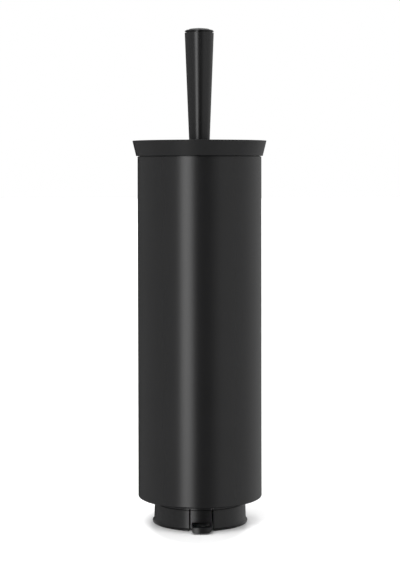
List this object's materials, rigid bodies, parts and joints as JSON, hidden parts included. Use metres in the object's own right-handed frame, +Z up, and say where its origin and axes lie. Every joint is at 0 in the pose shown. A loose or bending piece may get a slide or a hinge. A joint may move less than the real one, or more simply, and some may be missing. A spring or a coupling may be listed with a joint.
{
  "type": "toilet brush holder",
  "caption": "Closed cylindrical toilet brush holder: steel casing over a removable inner bucket on a latched foot, and a brush whose flared lid and tapered handle lift out.",
  "frame": {"origin": "middle of the underside of the floor ring, on the floor", "axes": "+Z up along the casing's axis, front with the latch tongue towards -Y, +X to the right seen from the front"},
  "size_m": [0.1162, 0.1162, 0.4283],
  "materials": {
    "casing_paint": "fine matt powder coat, black",
    "black_plastic": "satin moulded, black",
    "handle_plastic": "satin moulded, black",
    "bucket_plastic": "moulded polypropylene, dark grey",
    "floor_rubber": "matt soft elastomer, black",
    "stem_steel": "brushed stainless",
    "bristle_nylon": "nylon filament, black"
  },
  "bodies": {
    "bucket": {"inner_bucket": "bucket_plastic", "foot_base": "black_plastic", "floor_ring": "floor_rubber"},
    "casing": {"casing": "casing_paint", "rim_collar": "black_plastic", "base_ring": "black_plastic"},
    "brush": {"lid": "black_plastic", "lid_guide_ring": "black_plastic", "lid_lock_nut": "black_plastic", "handle_collar": "black_plastic", "handle_grip": "handle_plastic", "handle_end_cap": "handle_plastic", "stem_rod": "stem_steel", "brush_core": "black_plastic", "bristle_rows": "bristle_nylon", "tip_bristles": "bristle_nylon"},
    "latch": {"latch_tongue": "black_plastic"}
  },
  "joints": [
    {"name": "casing_lift", "type": "slide", "parent": "bucket", "child": "casing", "axis": [0, 0, 1], "range_m": [0, 0.3]},
    {"name": "brush_lift", "type": "slide", "parent": "casing", "child": "brush", "axis": [0, 0, 1], "range_m": [0, 0.3]},
    {"name": "latch_press", "type": "hinge", "parent": "bucket", "child": "latch", "pos_m": [0, -0.0382, 0.0476], "axis": [1, 0, 0], "range_deg": [0, 5.5], "stiffness_Nm_per_rad": 4}
  ]
}
